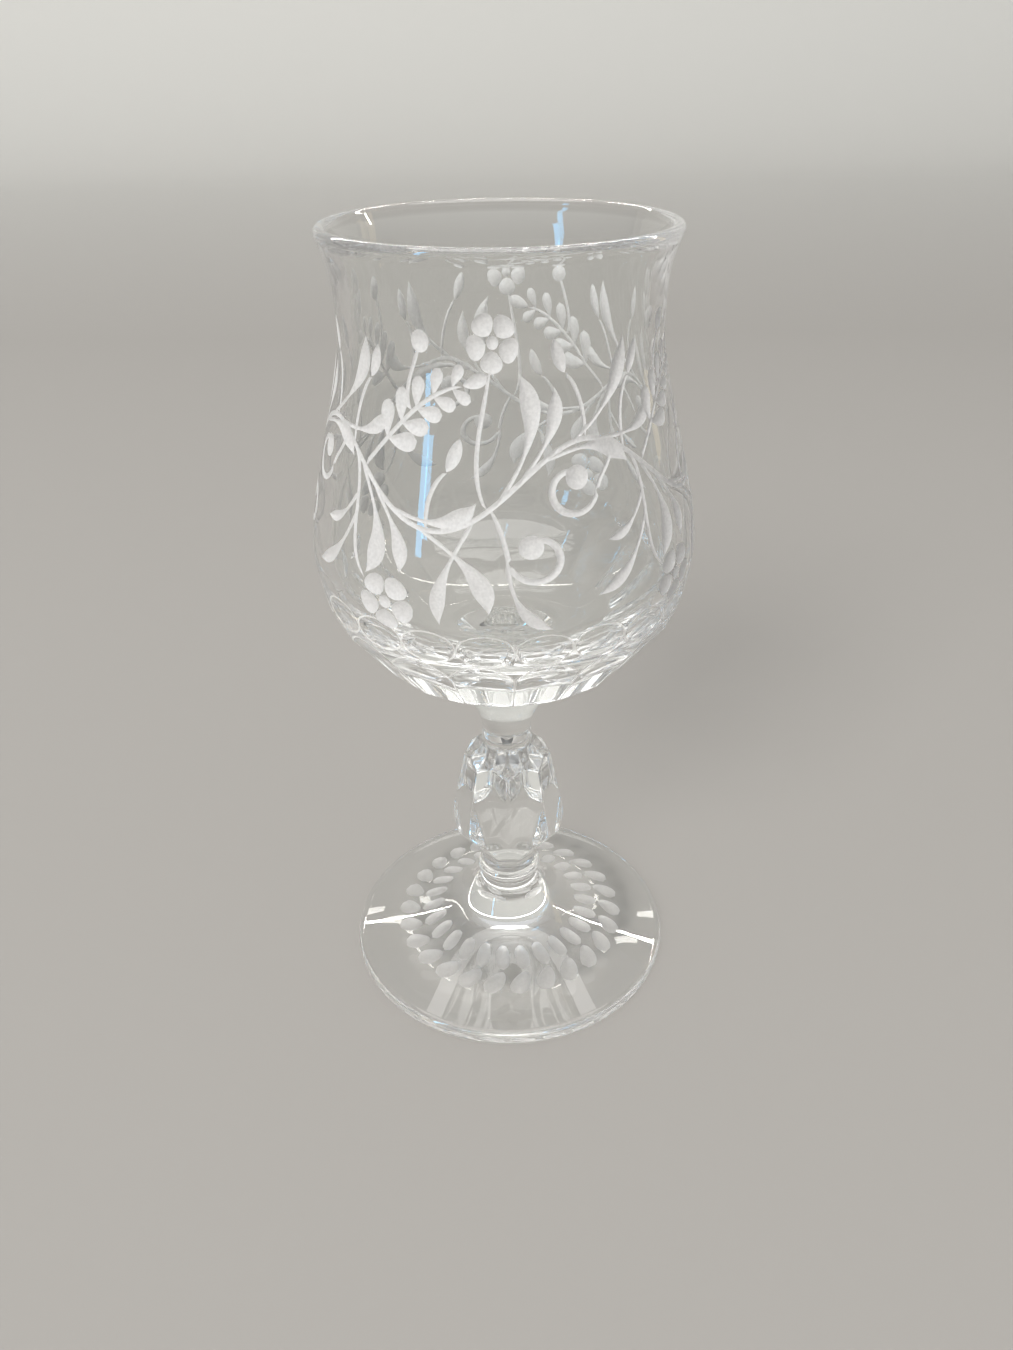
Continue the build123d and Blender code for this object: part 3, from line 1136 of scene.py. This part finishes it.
def add_lamp(name, size, watts, colour, place, target=LAMP_TARGET, shape="RECTANGLE"):
    light = bpy.data.lights.new(name, "AREA")
    light.shape = shape
    light.size, light.size_y = size
    light.energy = watts
    light.color = colour
    lamp = bpy.data.objects.new(name, light)
    lamp.location = place
    lamp.rotation_euler = (Vector(target) - Vector(place)).to_track_quat("-Z", "Y").to_euler()
    bpy.context.scene.collection.objects.link(lamp)
    return lamp


def add_lamps():
    """A soft box that lights the floor and the frost, and lamps that only shine in the glass."""
    soft = add_lamp("front_box", (1.4, 1.4), 110.0, (1.0, 0.98, 0.95), (-1.3, -2.4, 2.1))
    soft.visible_glossy = soft.visible_transmission = False
    for shine in (
        add_lamp("back_strip", (1.8, 0.011), 6.0, (1.0, 0.97, 0.92), (0.1, 0.55, 0.573)),
        add_lamp("window", (0.03, 0.32), 0.30, (0.2, 0.6, 1.0), (-0.316, -0.285, 0.225), (0, 0, 0.1)),
        add_lamp("ceiling", (1.7, 1.7), 21.0, (1.0, 0.99, 0.97), (0.0, 0.0, 1.6), shape="ELLIPSE"),
        add_lamp("warm_side", (0.08, 0.6), 0.16, (1.0, 0.80, 0.45), (0.6, 0.25, 0.32)),
    ):
        shine.visible_diffuse = False


def add_camera():
    camera = bpy.data.cameras.new("camera")
    camera.sensor_width, camera.lens = CAMERA_SENSOR, CAMERA_LENS
    camera.clip_start = 0.01
    stand = bpy.data.objects.new("camera", camera)
    tilt, roll = radians(90 - CAMERA_DIP), radians(CAMERA_ROLL)
    turn = Euler((tilt, 0, 0)).to_matrix() @ Matrix.Rotation(roll, 3, "Z")
    stand.matrix_world = Matrix.Translation(CAMERA_PLACE) @ turn.to_4x4()
    bpy.context.scene.collection.objects.link(stand)
    bpy.context.scene.camera = stand


crystal, seat = crystal_material(), seat_material()
engraving = frost_material("frosted_engraving", dark=0.66, light=0.78, clear=0.15, through_share=0.15)
foot_frost = frost_material("frosted_foot", dark=0.76, light=0.86, clear=0.9, through_share=0.12)
materials = [crystal, engraving, seat, edge_material()]
build_foot([crystal, foot_frost, seat])
build_merese(materials)
build_stem(materials)
build_bowl(materials)

add_floor()
add_world()
add_lamps()
cycles = bpy.context.scene.cycles
cycles.max_bounces = cycles.glossy_bounces = cycles.transmission_bounces = BOUNCES
add_camera()
bpy.context.scene.view_settings.view_transform = "Standard"
